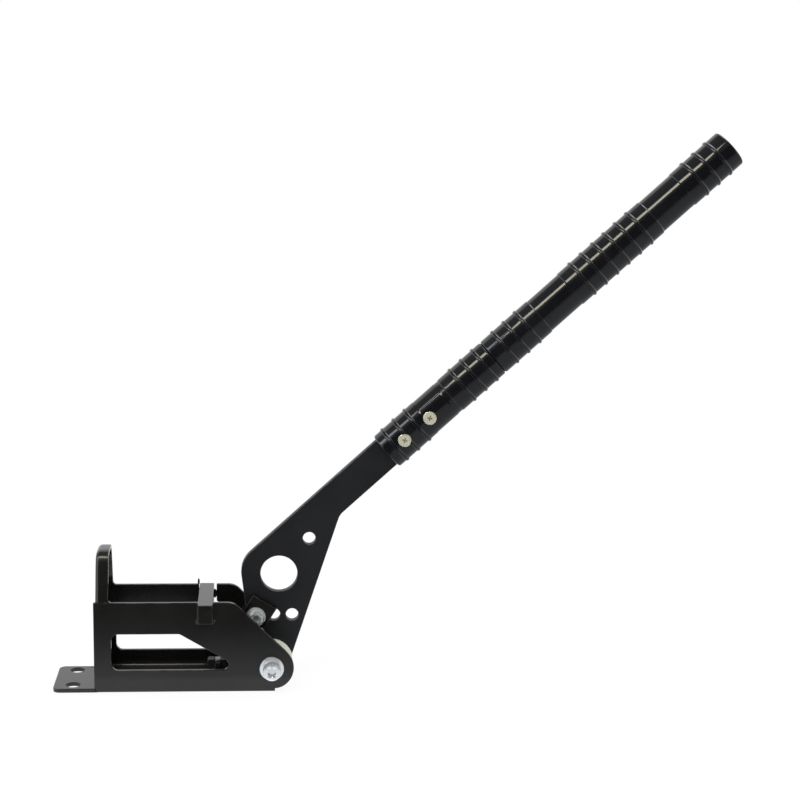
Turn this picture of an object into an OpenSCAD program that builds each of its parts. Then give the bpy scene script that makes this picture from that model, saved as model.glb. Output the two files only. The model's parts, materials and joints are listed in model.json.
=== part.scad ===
// Hand brake lever for a hydraulic parking brake: a folded steel base with an arched end wall,
// a flat lever plate that swings on a clamped pivot, a ringed two-piece handle, and a yoke for
// the push rod of a brake cylinder. Millimetres. X runs from the end wall towards the handle,
// Y runs across the base, Z is up. The origin is on the underside, straight below the pivot.

/* [Base] */
// Width of the base over its side plates
base_w = 50; // [44:1:60]
// Thickness of the folded steel sheet
sheet_t = 3; // [2:0.5:4]
// Distance from the pivot back to the outer face of the end wall
base_back = 128; // [118:1:150]
// Step of the end wall and its arch in from the ends of the side plates
hoop_inset = 1.3; // [0:0.1:3]
// Height of the side plates
side_h = 67; // [62:1:76]
// Outside radius of the bend between floor and sides
bend_r = 5; // [4.5:0.5:7]
// Radius where the top edge of a side plate turns into its slope
shoulder_r = 12; // [6:1:18]
// Distance the floor runs past the pivot
floor_past_pivot = 2.5; // [1:0.5:5]

/* [Floor tab] */
// Length of the tab beyond the end wall
tab_len = 30; // [26:1:40]
// Corner radius of the tab
tab_corner_r = 5; // [2:1:10]
// Diameter of the floor bolt holes
tab_hole_d = 10.4; // [8.5:0.1:11]
// Spacing of the floor bolt holes across the tab
tab_hole_gap = 32; // [24:1:34]
// Distance of the floor bolt holes from the end wall
tab_hole_back = 16; // [12:1:18]

/* [Side window] */
// Height of the window's lower edge
window_low = 16.5; // [14:0.5:20]
// Height of the window's upper edge
window_high = 43.5; // [38:0.5:46]
// Distance of the window from the end wall
window_back = 12.5; // [10:0.5:20]
// Length of the window's level upper edge
window_top_len = 49; // [30:1:56]
// Fall of the window's sloping edge
window_slope = 30.4; // [28:0.1:40]
// Corner radius of the window
window_r = 5; // [2:0.5:8]
// Radius of the window's pointed end
window_tip_r = 4; // [2:0.5:5]

/* [End wall] */
// Depth of the rim that runs round the arch
rim_depth = 9.4; // [8:0.1:16]
// Radius where the rim runs into the top of a side plate
rim_fillet_r = 2.5; // [2:0.5:6]
// Height of the arch's centre above the side plates
arch_rise = 10.6; // [4:0.1:14]
// Radius of the edge between the end wall and its rim
rim_edge_r = 3.5; // [3:0.5:5]
// Height of the brake cylinder's axis
cylinder_z = 45; // [42:0.5:50]
// Diameter of the hole for the cylinder's nose
cylinder_hole_d = 29; // [26:0.5:32]
// Spacing of the cylinder's flange bolts
cylinder_bolt_gap = 57; // [54:0.5:58]
// Diameter of the cylinder's flange bolt holes
cylinder_bolt_d = 8.6; // [8.2:0.1:9]

/* [Stop bar] */
// Width of the stop bar along the base
bar_w = 10.8; // [8:0.2:14]
// Height of the stop bar
bar_h = 14; // [10:0.5:18]
// Distance that the bar stands out of each side plate
bar_overhang = 4; // [1:0.5:6]
// Distance from the pivot back to the bar's stop face
bar_back = 42.5; // [40:0.5:48]
// Drop of the bar's top face below the side plates
bar_drop = 1; // [0:0.5:3]
// Side clearance of the bar in its notches
bar_clearance = 0.3; // [0.1:0.1:0.6]
// Extra width of the notch in the far side plate
far_notch_extra = 1.5; // [0:0.5:3]
// Radius of the relief at the bottom corners of a notch
notch_relief_r = 1.3; // [0.8:0.1:2]

/* [Rest stop] */
// Height of the rest stop screw
rest_z = 10.5; // [10:0.5:12]
// Distance from the pivot back to the bracket
rest_back = 41.5; // [40:0.5:44]
// Thickness of the bracket
rest_bracket_t = 4; // [3:0.5:5]
// Width of the bracket across the base
rest_bracket_w = 18; // [16:1:24]
// Height of the bracket's top above the underside
rest_bracket_h = 16.5; // [16:0.5:18]
// Corner radius of the bracket
rest_bracket_r = 5; // [2:0.5:6]
// Diameter of the rest stop screw
rest_screw_d = 8; // [6:1:8]
// Height of the rest stop screw's head
rest_head_h = 5.4; // [4:0.1:6]
// Height of the rest stop's lock nut
rest_nut_h = 4.4; // [3:0.1:5]
// Gap between the screw's tip and the heel of the lever
rest_gap = 0.3; // [0.2:0.1:0.6]

/* [Pivot] */
// Height of the pivot above the underside
pivot_z = 17.5; // [17:0.5:20]
// Radius of the round end of the side plates
hub_r = 16; // [14:0.5:17]
// Diameter of the pivot bolt
pivot_d = 8; // [8:0.5:9]
// Diameter of the pivot bolt's head
pivot_head_d = 13; // [12:0.5:14]
// Height of the pivot bolt's head
pivot_head_h = 8; // [6:0.5:9]
// Width of the key hole in the pivot bolt's head
pivot_key = 6; // [5:0.5:7]
// Depth of the key hole in the pivot bolt's head
pivot_key_depth = 4; // [3:0.5:5]
// Height of the pivot nut
pivot_nut_h = 8; // [6:0.5:9]
// Length of the pivot bolt that stands out of its nut
pivot_bolt_past_nut = 1; // [0.5:0.5:3]
// Diameter of the pivot washers
pivot_washer_d = 17.5; // [16:0.5:20]
// Thickness of the pivot washers
pivot_washer_t = 1.6; // [1:0.1:2.5]
// Outer diameter of the pivot sleeve
pivot_sleeve_d = 12; // [11:0.5:13]
// Outer diameter of the bush in the lever
pivot_bush_d = 16; // [15:0.5:17]
// Diameter of the spacers beside the lever
spacer_d = 28.8; // [24:0.2:30]
// Thickness of a spacer's wide part
spacer_t = 5; // [4:0.5:12]
// Diameter of a spacer's neck
spacer_neck_d = 16; // [13:0.5:18]
// Running clearance of the pivot, on the radius
running_gap = 0.05; // [0.02:0.01:0.1]
// Clearance of bolts in their holes, on the radius
bolt_gap = 0.15; // [0.1:0.05:0.3]
// Gap between the lever and the spacers
side_gap = 0.3; // [0.2:0.1:0.6]

/* [Lever plate] */
// Thickness of the lever plate
lever_t = 6; // [5:0.5:8]
// Radius of the lever's lower end
lever_hub_r = 13.4; // [12.5:0.1:13.8]
// Lean of the lever's front edge
lever_front_lean = 18; // [16:0.5:20]
// Height of the lever's back corner above the pivot
lever_back_corner_z = 77; // [74:1:80]
// Distance of the lever's back corner behind the pivot
lever_back_corner_x = 23.5; // [21:0.5:24]
// Radius of the lever's back corner
lever_back_r = 20; // [10:1:24]
// Radius in the crook under the arm
lever_crook_r = 12; // [6:1:16]
// Width of the arm that carries the handle
arm_w = 23.3; // [20:0.1:24]
// Diameter of the big lightening hole
big_hole_d = 27; // [22:0.5:29]
// Height of the big hole above the pivot
big_hole_z = 64.5; // [62:0.5:67]
// Distance of the big hole in front of the pivot
big_hole_x = 5.3; // [3:0.1:8]
// Diameter of the small holes
small_hole_d = 9.3; // [8.5:0.1:10]
// Height of the row of yoke holes above the pivot
row_z = 33.5; // [33:0.5:36]
// Distance of the first yoke hole behind the pivot
row_back = 11.6; // [10.5:0.1:12]
// Pitch of the yoke holes
row_pitch = 13.3; // [12.5:0.1:13.5]
// Height of the upper hole above the pivot
upper_hole_z = 91; // [88:0.5:94]
// Distance of the upper hole in front of the pivot
upper_hole_x = 27.2; // [25:0.1:29]
// Distance from the pivot back to the heel that meets the rest stop
heel_back = 15; // [14.5:0.1:15.5]
// Drop of the heel's lower corner below the pivot
heel_drop = 8.5; // [8:0.5:9]

/* [Handle] */
// Angle of the handle above the level, at rest
handle_angle = 42.4; // [38:0.1:46]
// Distance of the handle's lower end in front of the pivot
handle_x = 83; // [80:0.5:86]
// Height of the handle's lower end above the pivot
handle_z = 155; // [152:0.5:158]
// Radius of the ringed stretches
grip_r = 14.3; // [14:0.1:16]
// Radius of the smooth stretches
smooth_r = 13.75; // [13.3:0.05:13.9]
// Pitch of the rings
ring_pitch = 10.7; // [9:0.1:12]
// Distance from a smooth stretch to the next ring
ring_margin = 11.5; // [9:0.1:13]
// Distance from an end of the lower sleeve to its nearest ring
end_margin = 8; // [6:0.1:10]
// Rings in each short stretch
short_rings = 3; // [2:1:4]
// Height of a ring
ring_h = 0.9; // [0.4:0.1:1.4]
// Width of a ring at its foot
ring_w = 3; // [2:0.1:4]
// Length of the smooth stretch of the lower sleeve
sleeve_smooth_len = 20; // [12:0.5:26]
// Length of the necked stretch of the lower sleeve
sleeve_neck_len = 4; // [2:0.5:6]
// Length of each smooth stretch of the grip
grip_smooth_len = 29; // [20:0.5:36]
// Rings in the long middle stretch of the grip
grip_rings = 6; // [4:1:8]
// Chamfer at the ends of the handle pieces
end_chamfer = 1.2; // [0.6:0.1:2]
// Bore of the grip
grip_bore_d = 20; // [16:0.5:22]
// Depth of the lever's tongue in the sleeve
tongue_len = 54; // [50:1:60]
// Clearance of the tongue in its slot
tongue_gap = 0.1; // [0.05:0.05:0.3]
// Distance of the first handle screw from the sleeve's lower end
screw_first = 16; // [13:0.5:18]
// Spacing of the handle screws
screw_gap = 24; // [20:0.5:26]
// Head diameter of the handle screws
screw_head_d = 9.8; // [8:0.1:11]
// Thread diameter of the handle screws
screw_d = 5; // [4:0.5:6]
// Length of the handle screws
screw_len = 22; // [19:0.5:24]
// Depth of the handle screws' heads below the sleeve's surface
screw_sink = 1; // [0.6:0.1:1.5]
// Diameter of the stud between sleeve and grip
stud_d = 12; // [10:0.5:14]
// Length of the stud in each piece
stud_half_len = 20; // [15:0.5:25]
// Length of the plug in the grip's open end
plug_len = 12; // [8:0.5:16]

/* [Yoke] */
// Lean of the yoke from hanging straight down, at rest
yoke_lean = 31.5; // [31:0.5:34]
// Width of the yoke
yoke_w = 20; // [18:0.5:21]
// Thickness of each ear
yoke_ear_t = 4.2; // [3:0.1:5]
// Length of the ears above the bolt
yoke_top = 12.8; // [10:0.2:14]
// Depth of the fork below the bolt
yoke_fork = 20.5; // [20:0.5:22]
// Length of the yoke below the bolt
yoke_low = 28; // [27:0.5:29]
// Width of the yoke's narrow end
yoke_end_w = 14; // [12:0.5:14]
// Chamfer at the narrow end
yoke_chamfer = 2.5; // [1:0.5:3]
// Clearance between the yoke's ears and the lever
yoke_gap = 0.3; // [0.2:0.1:0.5]
// Diameter of the thread for the push rod
rod_thread_d = 8; // [6:0.5:9]
// Diameter of the yoke bolt
yoke_bolt_d = 6; // [5:0.5:6]
// Head diameter of the yoke bolt
yoke_head_d = 10; // [9:0.5:11]
// Height of the yoke bolt's head
yoke_head_h = 6; // [4:0.5:7]
// Width of the key hole in the yoke bolt's head
yoke_key = 5; // [4:0.5:6]
// Depth of the key hole in the yoke bolt's head
yoke_key_depth = 3; // [2:0.5:4]
// Height of the yoke nut
yoke_nut_h = 6; // [4:0.5:7]
// Diameter of the yoke washers
yoke_washer_d = 14.2; // [12:0.2:16]
// Thickness of the yoke washers
yoke_washer_t = 1.5; // [1:0.1:2]

/* [Hidden] */
$fn = 64;

steel_black = "#24241f";
lever_black = "#1b1c20";
handle_black = "#0e0e10";
zinc = "#c9ccd2";
cream = "#d8d6c6";
bronze = "#9a7a45";

arc_steps = 8;
slack = 1;
half_w = base_w / 2;
inner_half = half_w - sheet_t;
half_lever = lever_t / 2;
spacer_face = half_lever + side_gap;
slope_angle = 45;
slope_sum = pivot_z + hub_r / cos(slope_angle);

bar_top = side_h - bar_drop;
bar_low = bar_top - bar_h;

// A hexagon's width over its corners for its width over flats, and that for the thread's diameter
hex_ratio = 1 / cos(30);
hex_flats = 1.625;

fork_half = half_lever + yoke_gap;
yoke_half = fork_half + yoke_ear_t;
yoke_bush_r = small_hole_d / 2 - running_gap;

screw_head_h = (screw_head_d - screw_d) / 2;
step_r = (grip_r + smooth_r) / 2;
short_rings_len = (short_rings - 1) * ring_pitch;
sleeve_low_len = end_margin + short_rings_len + end_margin;
sleeve_smooth_end = sleeve_low_len + sleeve_smooth_len;
sleeve_neck_end = sleeve_smooth_end + sleeve_neck_len;
sleeve_len = sleeve_neck_end + ring_margin + short_rings_len + end_margin;
short_len = ring_margin + short_rings_len + ring_margin;
middle_len = ring_margin + (grip_rings - 1) * ring_pitch + ring_margin;
grip_middle = short_len + grip_smooth_len;
grip_upper_smooth = grip_middle + middle_len;
grip_last = grip_upper_smooth + grip_smooth_len;
grip_len = grip_last + short_len;

// Turns a flat outline in X and Z into a plate of the given thickness, centred on Y
module upright(thickness) rotate([90, 0, 0]) linear_extrude(thickness, center = true) children();

// Lays a round piece along Y, starting at y
module along_y(x, y, z) translate([x, y, z]) rotate([-90, 0, 0]) children();

// Moves a piece that is drawn along Z onto the axis of the handle
module on_handle() translate([handle_x, 0, pivot_z + handle_z]) rotate([0, 90 - handle_angle, 0]) children();

// Moves a piece that is drawn about the yoke bolt to its place on the lever
module on_yoke() translate([-row_back, 0, pivot_z + row_z]) rotate([0, yoke_lean, 0]) children();

module ring_washer(outer_d, inner_d, thickness) difference() {
    cylinder(d = outer_d, h = thickness);
    translate([0, 0, -slack]) cylinder(d = inner_d, h = thickness + 2 * slack);
}

module hex_nut(thread_d, height) difference() {
    cylinder(d = thread_d * hex_flats * hex_ratio, h = height, $fn = 6);
    translate([0, 0, -slack]) cylinder(d = thread_d + 2 * running_gap, h = height + 2 * slack);
}

function unit(v) = v / norm(v);

// Points of a fillet of radius r at corner b, between its neighbours a and c
function corner_arc(a, b, c, r) =
    let (
        u = unit(a - b),
        w = unit(c - b),
        half = acos(u * w) / 2,
        centre = b + unit(u + w) * r / sin(half),
        first = b + u * r / tan(half) - centre,
        last = b + w * r / tan(half) - centre,
        a0 = atan2(first.y, first.x),
        raw = atan2(last.y, last.x) - a0,
        sweep = raw > 180 ? raw - 360 : raw < -180 ? raw + 360 : raw
    )
    [for (i = [0 : arc_steps]) let (a = a0 + sweep * i / arc_steps) centre + r * [cos(a), sin(a)]];

// An outline whose corners [x, y, radius] are rounded
function rounded(corners) =
    let (n = len(corners), p = [for (c = corners) [c.x, c.y]])
    [for (i = [0 : n - 1])
        each corners[i][2] > 0
            ? corner_arc(p[(i + n - 1) % n], p[i], p[(i + 1) % n], corners[i][2])
            : [p[i]]];

// Outline of one side plate, without its window and notch
module side_outline() {
    tangent = hub_r * cos(slope_angle);
    polygon(rounded([
        [-base_back, 0, 0],
        [0, 0, 0],
        [0, pivot_z, 0],
        [tangent, pivot_z + tangent, 0],
        [slope_sum - side_h, side_h, shoulder_r],
        [-base_back, side_h, 0]
    ]));
    translate([0, pivot_z]) circle(r = hub_r);
    square([floor_past_pivot, pivot_z]);
    translate([-base_back + hoop_inset + rim_depth, side_h]) difference() {
        translate([0, -slack]) square([rim_fillet_r, rim_fillet_r + slack]);
        translate([rim_fillet_r, rim_fillet_r]) circle(r = rim_fillet_r);
    }
}

// Outline of the window in a side plate
module window_outline() {
    left = -base_back + window_back;
    top_end = left + window_top_len;
    tip = top_end + (window_high - window_low) / tan(window_slope);
    polygon(rounded([
        [left, window_low, window_r],
        [left, window_high, window_r],
        [top_end, window_high, window_r],
        [tip, window_low, window_tip_r]
    ]));
}

// Open notch for the stop bar, with relief at its bottom corners
module notch_outline(extra) {
    left = -bar_back - bar_w - bar_clearance;
    width = bar_w + 2 * bar_clearance + extra;
    translate([left, bar_low]) square([width, bar_h + bar_drop + slack]);
    for (x = [left, left + width]) translate([x, bar_low + notch_relief_r / 2]) circle(r = notch_relief_r);
}

// Section of the folded channel, across the base
module channel_section() difference() {
    polygon(rounded([
        [-half_w, 0, bend_r],
        [half_w, 0, bend_r],
        [half_w, side_h + rim_fillet_r, 0],
        [-half_w, side_h + rim_fillet_r, 0]
    ]));
    polygon(rounded([
        [-inner_half, sheet_t, bend_r - sheet_t],
        [inner_half, sheet_t, bend_r - sheet_t],
        [inner_half, side_h + rim_fillet_r + slack, 0],
        [-inner_half, side_h + rim_fillet_r + slack, 0]
    ]));
}

module floor_tab() linear_extrude(sheet_t) polygon(rounded([
    [-base_back - tab_len, -half_w, tab_corner_r],
    [-base_back + bend_r, -half_w, bend_r - slack],
    [-base_back + bend_r, half_w, bend_r - slack],
    [-base_back - tab_len, half_w, tab_corner_r]
]));

module base_channel() color(steel_black) difference() {
    union() {
        intersection() {
            translate([-base_back, 0, 0]) rotate([90, 0, 90])
                linear_extrude(base_back + hub_r + slack) channel_section();
            upright(base_w + 2 * slack) side_outline();
        }
        floor_tab();
    }
    upright(base_w + 2 * slack) window_outline();
    translate([0, -half_w, 0]) upright(2 * sheet_t + slack) notch_outline(0);
    translate([0, half_w, 0]) upright(2 * sheet_t + slack) notch_outline(far_notch_extra);
    translate([floor_past_pivot, -inner_half, -slack]) cube([2 * hub_r, 2 * inner_half, bend_r + slack]);
    along_y(0, -half_w - slack, pivot_z) cylinder(d = pivot_d + 2 * bolt_gap, h = base_w + 2 * slack);
    for (side = [-1, 1])
        translate([-base_back - tab_hole_back, side * tab_hole_gap / 2, -slack])
            cylinder(d = tab_hole_d, h = sheet_t + 2 * slack);
}

// Outline of the end wall between the side plates, across the base; its middle runs up into the arch
module end_outline() {
    translate([-inner_half, bend_r]) square([2 * inner_half, side_h - bend_r]);
    translate([-inner_half + rim_edge_r, bend_r])
        square([2 * (inner_half - rim_edge_r), side_h + arch_rise - bend_r]);
    translate([-inner_half + bend_r, sheet_t]) square([2 * (inner_half - bend_r), bend_r]);
}

// Half section of the pressed arch: the wall from its middle out, and the rim that turns back from it
module arch_section() polygon(rounded([
    [0, 0, 0],
    [half_w, 0, rim_edge_r],
    [half_w, rim_depth, 0],
    [inner_half, rim_depth, 0],
    [inner_half, sheet_t, 0],
    [0, sheet_t, 0]
]));

module end_hoop() color(steel_black)
translate([-base_back + hoop_inset, 0, 0]) rotate([90, 0, 90]) difference() {
    union() {
        linear_extrude(sheet_t) end_outline();
        translate([0, side_h + arch_rise, 0]) {
            rotate_extrude(angle = 180) arch_section();
            rotate([90, 0, 0]) linear_extrude(arch_rise) {
                arch_section();
                mirror([1, 0]) arch_section();
            }
        }
    }
    translate([0, cylinder_z, -slack]) cylinder(d = cylinder_hole_d, h = sheet_t + 2 * slack);
    for (side = [-1, 1])
        translate([0, cylinder_z + side * cylinder_bolt_gap / 2, -slack])
            cylinder(d = cylinder_bolt_d, h = sheet_t + 2 * slack);
}

module stop_bar() color(steel_black)
    translate([-bar_back - bar_w, -half_w - bar_overhang, bar_low])
        cube([bar_w, base_w + 2 * bar_overhang, bar_h]);

// Upright lug that is welded to the floor and carries the rest stop screw
module rest_stop_bracket() color(steel_black) translate([-rest_back, 0, 0]) rotate([90, 0, 90])
    linear_extrude(rest_bracket_t) difference() {
        polygon(rounded([
            [-rest_bracket_w / 2, sheet_t, 0],
            [rest_bracket_w / 2, sheet_t, 0],
            [rest_bracket_w / 2, rest_bracket_h, rest_bracket_r],
            [-rest_bracket_w / 2, rest_bracket_h, rest_bracket_r]
        ]));
        translate([0, rest_z]) circle(d = rest_screw_d + 2 * running_gap);
    }

// Lays a piece along X on the rest stop's axis, with a flat of its hexagon up
module on_rest_stop(x) translate([x, 0, rest_z]) rotate([0, 90, 0]) rotate([0, 0, 30]) children();

module rest_stop_screw() color(lever_black) on_rest_stop(-rest_back) {
    translate([0, 0, -rest_head_h])
        cylinder(d = rest_screw_d * hex_flats * hex_ratio, h = rest_head_h, $fn = 6);
    cylinder(d = rest_screw_d, h = rest_back - heel_back - rest_gap);
}

module rest_stop_nut() color(lever_black)
    on_rest_stop(-rest_back + rest_bracket_t) hex_nut(rest_screw_d, rest_nut_h);

// Head of a socket cap bolt, drawn along Z from its top face down to its seat
module cap_head(diameter, height, key, key_depth) difference() {
    cylinder(d = diameter, h = height);
    translate([0, 0, -slack]) cylinder(d = key * hex_ratio, h = key_depth + slack, $fn = 6);
}

module pivot_bolt() color(zinc) {
    head_y = -half_w - pivot_washer_t;
    along_y(0, head_y - pivot_head_h, pivot_z)
        cap_head(pivot_head_d, pivot_head_h, pivot_key, pivot_key_depth);
    along_y(0, head_y, pivot_z)
        cylinder(d = pivot_d, h = base_w + 2 * pivot_washer_t + pivot_nut_h + pivot_bolt_past_nut);
}

module pivot_near_washer() color(zinc) along_y(0, -half_w - pivot_washer_t, pivot_z)
    ring_washer(pivot_washer_d, pivot_d + 2 * running_gap, pivot_washer_t);

module pivot_far_washer() color(zinc) along_y(0, half_w, pivot_z)
    ring_washer(pivot_washer_d, pivot_d + 2 * running_gap, pivot_washer_t);

module pivot_nut() color(zinc) along_y(0, half_w + pivot_washer_t, pivot_z) hex_nut(pivot_d, pivot_nut_h);

// Turned spacer from the lever's side out to a side plate, drawn along Z
module spacer() difference() {
    union() {
        cylinder(d = spacer_d, h = spacer_t);
        cylinder(d = spacer_neck_d, h = inner_half - spacer_face);
    }
    translate([0, 0, -slack]) cylinder(d = pivot_d + 2 * running_gap, h = base_w);
}

module near_spacer() color(cream) translate([0, -spacer_face, pivot_z]) rotate([90, 0, 0]) spacer();

module far_spacer() color(cream) along_y(0, spacer_face, pivot_z) spacer();

module pivot_sleeve() color(zinc) along_y(0, -spacer_face, pivot_z)
    ring_washer(pivot_sleeve_d, pivot_d + 2 * running_gap, 2 * spacer_face);

module lever_bush() color(bronze) along_y(0, -half_lever, pivot_z)
    ring_washer(pivot_bush_d, pivot_sleeve_d + 2 * running_gap, lever_t);

// Outline of the lever plate about the pivot, with the tongue that goes into the handle
module lever_outline() {
    axis = [cos(handle_angle), sin(handle_angle)];
    across = [-axis.y, axis.x];
    low_end = [handle_x, handle_z];
    tip_back = low_end + axis * tongue_len + across * arm_w / 2;
    tip_front = low_end + axis * tongue_len - across * arm_w / 2;
    front_dir = [sin(lever_front_lean), cos(lever_front_lean)];
    front_foot = lever_hub_r * [cos(lever_front_lean), -sin(lever_front_lean)];
    crook = meet(front_foot, front_dir, tip_front, axis);
    back_corner = [-lever_back_corner_x, lever_back_corner_z];
    top_corner = meet(back_corner, [0, 1], tip_back, axis);
    reach = norm(back_corner);
    tangent_angle = atan2(back_corner.y, back_corner.x) + acos(lever_hub_r / reach);
    back_foot = lever_hub_r * [cos(tangent_angle), sin(tangent_angle)];
    polygon(rounded([
        [front_foot.x, front_foot.y, 0],
        [crook.x, crook.y, lever_crook_r],
        [tip_front.x, tip_front.y, 0],
        [tip_back.x, tip_back.y, 0],
        [top_corner.x, top_corner.y, lever_back_r],
        [back_foot.x, back_foot.y, 0]
    ]));
    circle(r = lever_hub_r);
    translate([-heel_back, -heel_drop]) square([heel_back, heel_drop]);
}

// Where the line through p along u meets the line through q along w
function meet(p, u, q, w) = p + u * cross(q - p, w) / cross(u, w);

module lever_plate() color(lever_black) difference() {
    translate([0, 0, pivot_z]) upright(lever_t) difference() {
        lever_outline();
        circle(d = pivot_bush_d);
        translate([big_hole_x, big_hole_z]) circle(d = big_hole_d);
        translate([upper_hole_x, upper_hole_z]) circle(d = small_hole_d);
        for (i = [0 : 2]) translate([-row_back + i * row_pitch, row_z]) circle(d = small_hole_d);
    }
    handle_screw_places() cylinder(d = screw_d + 2 * running_gap, h = 2 * lever_t, center = true);
}

// Places the children at the handle screws, along the way the screws go in
module handle_screw_places() on_handle()
    for (i = [0, 1]) translate([0, 0, screw_first + i * screw_gap]) rotate([-90, 0, 0]) children();

// Half section of a row of rings, the first one centred at height z
function ringed(z, count) = [
    for (
        i = [0 : count - 1],
        s = [[0, -ring_w / 2], [ring_h, -ring_w / 6], [ring_h, ring_w / 6], [0, ring_w / 2]]
    )
        [grip_r, z + i * ring_pitch] + s
];

module handle_sleeve() color(handle_black) difference() {
    on_handle() difference() {
        rotate_extrude() polygon([
            [0, 0],
            [grip_r - end_chamfer, 0],
            [grip_r, end_chamfer],
            each ringed(end_margin, short_rings),
            [grip_r, sleeve_low_len],
            [step_r, sleeve_low_len],
            [step_r, sleeve_smooth_end],
            [smooth_r, sleeve_smooth_end],
            [smooth_r, sleeve_neck_end],
            [grip_r, sleeve_neck_end],
            each ringed(sleeve_neck_end + ring_margin, short_rings),
            [grip_r, sleeve_len - end_chamfer],
            [grip_r - end_chamfer, sleeve_len],
            [0, sleeve_len]
        ]);
        translate([-arm_w / 2 - tongue_gap, -half_lever - tongue_gap, -slack])
            cube([arm_w + 2 * tongue_gap, lever_t + 2 * tongue_gap, tongue_len + tongue_gap + slack]);
        translate([0, 0, sleeve_len - stud_half_len - tongue_gap])
            cylinder(d = stud_d + 2 * tongue_gap, h = stud_half_len + slack + tongue_gap);
    }
    handle_screw_places() screw_space();
}

// Room for one handle screw, drawn along Z about the handle's axis
module screw_space() {
    translate([0, 0, -grip_r])
        cylinder(d = screw_d + 2 * running_gap, h = screw_sink + screw_len + tongue_gap);
    translate([0, 0, -grip_r - ring_h - slack])
        cylinder(d = screw_head_d + 2 * tongue_gap, h = ring_h + slack + screw_sink);
    translate([0, 0, -grip_r + screw_sink])
        cylinder(d1 = screw_head_d + 2 * tongue_gap, d2 = screw_d, h = screw_head_h + tongue_gap);
}

module handle_grip() color(handle_black) on_handle() translate([0, 0, sleeve_len]) difference() {
    rotate_extrude() polygon([
        [0, 0],
        [grip_r - end_chamfer, 0],
        [grip_r, end_chamfer],
        each ringed(ring_margin, short_rings),
        [grip_r, short_len],
        [smooth_r, short_len],
        [smooth_r, grip_middle],
        [grip_r, grip_middle],
        each ringed(grip_middle + ring_margin, grip_rings),
        [grip_r, grip_upper_smooth],
        [smooth_r, grip_upper_smooth],
        [smooth_r, grip_last],
        [grip_r, grip_last],
        each ringed(grip_last + ring_margin, short_rings),
        [grip_r, grip_len - end_chamfer],
        [grip_r - end_chamfer, grip_len],
        [0, grip_len]
    ]);
    translate([0, 0, -slack]) cylinder(d = stud_d + 2 * tongue_gap, h = stud_half_len + 2 * slack);
    translate([0, 0, stud_half_len + tongue_gap]) cylinder(d = grip_bore_d, h = grip_len);
}

module handle_stud() color(zinc) on_handle() translate([0, 0, sleeve_len - stud_half_len])
    cylinder(d = stud_d, h = 2 * stud_half_len);

module handle_end_plug() color(handle_black) on_handle() translate([0, 0, sleeve_len + grip_len - plug_len])
    cylinder(d = grip_bore_d - 2 * tongue_gap, h = plug_len);

module handle_screws() color(cream) handle_screw_places() translate([0, 0, -grip_r + screw_sink]) {
    cylinder(d1 = screw_head_d, d2 = screw_d, h = screw_head_h);
    cylinder(d = screw_d, h = screw_len);
}

module yoke() color(steel_black) on_yoke() difference() {
    upright(2 * yoke_half) polygon([
        [-yoke_w / 2, yoke_top],
        [yoke_w / 2, yoke_top],
        [yoke_w / 2, -yoke_top],
        [yoke_end_w / 2, -yoke_fork],
        [yoke_end_w / 2, -yoke_low + yoke_chamfer],
        [yoke_end_w / 2 - yoke_chamfer, -yoke_low],
        [-yoke_end_w / 2 + yoke_chamfer, -yoke_low],
        [-yoke_end_w / 2, -yoke_low + yoke_chamfer],
        [-yoke_end_w / 2, -yoke_fork],
        [-yoke_w / 2, -yoke_top]
    ]);
    translate([-yoke_w, -fork_half, -yoke_fork])
        cube([2 * yoke_w, 2 * fork_half, yoke_fork + yoke_top + slack]);
    along_y(0, -yoke_half - slack, 0) cylinder(d = yoke_bolt_d + 2 * bolt_gap, h = 2 * yoke_half + 2 * slack);
    translate([0, 0, -yoke_low - slack]) cylinder(d = rod_thread_d, h = yoke_low - yoke_fork + 2 * slack);
}

module yoke_bush() color(zinc) on_yoke() along_y(0, -fork_half, 0)
    ring_washer(2 * yoke_bush_r, yoke_bolt_d + 2 * running_gap, 2 * fork_half);

module yoke_bolt() color(zinc) on_yoke() {
    head_y = -yoke_half - yoke_washer_t;
    along_y(0, head_y - yoke_head_h, 0) cap_head(yoke_head_d, yoke_head_h, yoke_key, yoke_key_depth);
    along_y(0, head_y, 0) cylinder(d = yoke_bolt_d, h = 2 * yoke_half + 2 * yoke_washer_t + yoke_nut_h);
}

module yoke_near_washer() color(zinc) on_yoke() along_y(0, -yoke_half - yoke_washer_t, 0)
    ring_washer(yoke_washer_d, yoke_bolt_d + 2 * running_gap, yoke_washer_t);

module yoke_far_washer() color(zinc) on_yoke() along_y(0, yoke_half, 0)
    ring_washer(yoke_washer_d, yoke_bolt_d + 2 * running_gap, yoke_washer_t);

module yoke_nut() color(zinc) on_yoke() along_y(0, yoke_half + yoke_washer_t, 0)
    hex_nut(yoke_bolt_d, yoke_nut_h);

base_channel();
end_hoop();
stop_bar();
rest_stop_bracket();
rest_stop_screw();
rest_stop_nut();
pivot_bolt();
pivot_near_washer();
pivot_far_washer();
pivot_nut();
near_spacer();
far_spacer();
pivot_sleeve();
lever_bush();
lever_plate();
handle_sleeve();
handle_grip();
handle_stud();
handle_end_plug();
handle_screws();
yoke();
yoke_bush();
yoke_bolt();
yoke_near_washer();
yoke_far_washer();
yoke_nut();
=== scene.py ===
import json
import math

import bmesh
import bpy
from mathutils import Euler, Matrix, Vector

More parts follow.
